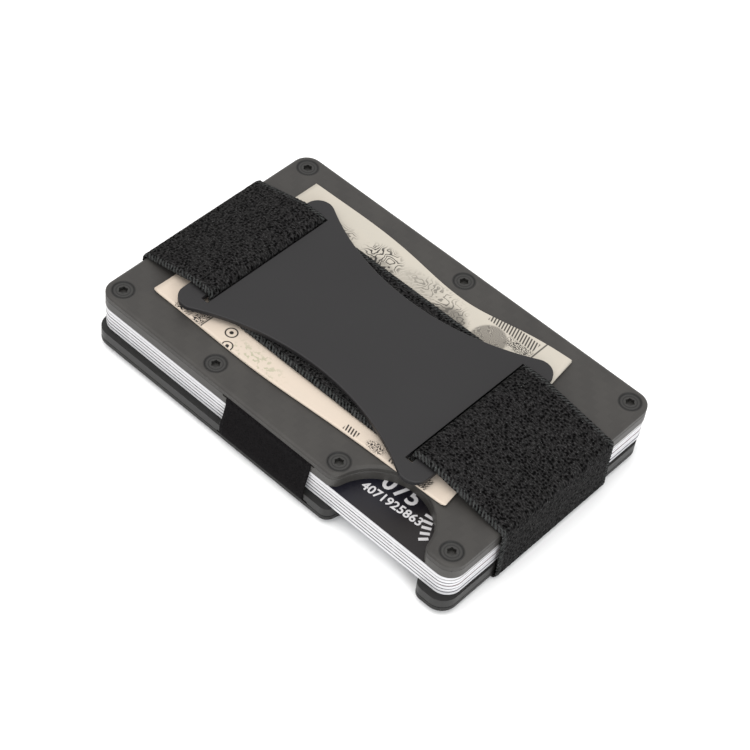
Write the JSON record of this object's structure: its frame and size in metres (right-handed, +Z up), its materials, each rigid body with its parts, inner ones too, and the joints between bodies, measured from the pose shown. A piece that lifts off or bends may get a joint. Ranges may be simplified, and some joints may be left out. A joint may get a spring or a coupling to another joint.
{
  "type": "minimalist card wallet",
  "caption": "Slim card wallet: rigid screwed covers squeeze a card stack by elastic bands; a wide elastic strap with a bow-shaped plate holds folded cash on top.",
  "frame": {"origin": "middle of the covers' plan on the plane the cash strap rests on", "axes": "+X along the long side towards the thumb notch end, +Y towards the open long side the cards leave by, +Z up towards the cash strap's plate"},
  "size_m": [0.0892, 0.0558, 0.0157],
  "materials": {
    "plate_laminate": "satin dark grey woven laminate",
    "frame_metal": "dark anodised",
    "screw_steel": "black oxide",
    "bow_metal": "satin graphite black",
    "strap_webbing": "black knitted elastic",
    "band_elastic": "smooth black elastic",
    "card_plastic": "white core, printed faces",
    "note_paper": "cream folded paper"
  },
  "bodies": {
    "lower_cover": {"lower_plate": "plate_laminate", "lower_frame": "frame_metal", "lower_screws": "screw_steel", "strap_base": "strap_webbing", "front_band": "band_elastic", "left_band": "band_elastic", "right_band": "band_elastic", "strap_end_left": "strap_webbing", "strap_end_right": "strap_webbing"},
    "upper_cover": {"upper_plate": "plate_laminate", "upper_frame": "frame_metal", "upper_screws": "screw_steel", "strap_ramp_left": "strap_webbing", "strap_ramp_right": "strap_webbing"},
    "cash_bow": {"bow_plate": "bow_metal", "strap_bridge": "strap_webbing"},
    "note": {"folded_note": "note_paper"},
    "card_1": {"card_1": "card_plastic"},
    "card_2": {"card_2": "card_plastic"},
    "card_3": {"card_3": "card_plastic"},
    "card_4": {"card_4": "card_plastic"},
    "card_5": {"card_5": "card_plastic"},
    "card_6": {"card_6": "card_plastic"}
  },
  "joints": [
    {"name": "cover_expand", "type": "slide", "parent": "lower_cover", "child": "upper_cover", "axis": [0, 0, 1], "range_m": [0, 0.0068], "stiffness_N_per_m": 900, "springref_m": -0.002, "deforming": ["front_band", "left_band", "right_band", "strap_end_left", "strap_end_right"]},
    {"name": "strap_lift", "type": "slide", "parent": "upper_cover", "child": "cash_bow", "axis": [0, 0, 1], "range_m": [0, 0.006], "stiffness_N_per_m": 300, "springref_m": -0.002, "deforming": ["strap_ramp_left", "strap_ramp_right"]},
    {"name": "note_slide", "type": "slide", "parent": "upper_cover", "child": "note", "axis": [0, 1, 0], "range_m": [0, 0.05]},
    {"name": "card_1_slide", "type": "slide", "parent": "lower_cover", "child": "card_1", "axis": [0, 1, 0], "range_m": [0, 0.056]},
    {"name": "card_2_slide", "type": "slide", "parent": "lower_cover", "child": "card_2", "axis": [0, 1, 0], "range_m": [0, 0.056]},
    {"name": "card_3_slide", "type": "slide", "parent": "lower_cover", "child": "card_3", "axis": [0, 1, 0], "range_m": [0, 0.056]},
    {"name": "card_4_slide", "type": "slide", "parent": "lower_cover", "child": "card_4", "axis": [0, 1, 0], "range_m": [0, 0.056]},
    {"name": "card_5_slide", "type": "slide", "parent": "lower_cover", "child": "card_5", "axis": [0, 1, 0], "range_m": [0, 0.056]},
    {"name": "card_6_slide", "type": "slide", "parent": "lower_cover", "child": "card_6", "axis": [0, 1, 0], "range_m": [0, 0.056]}
  ]
}
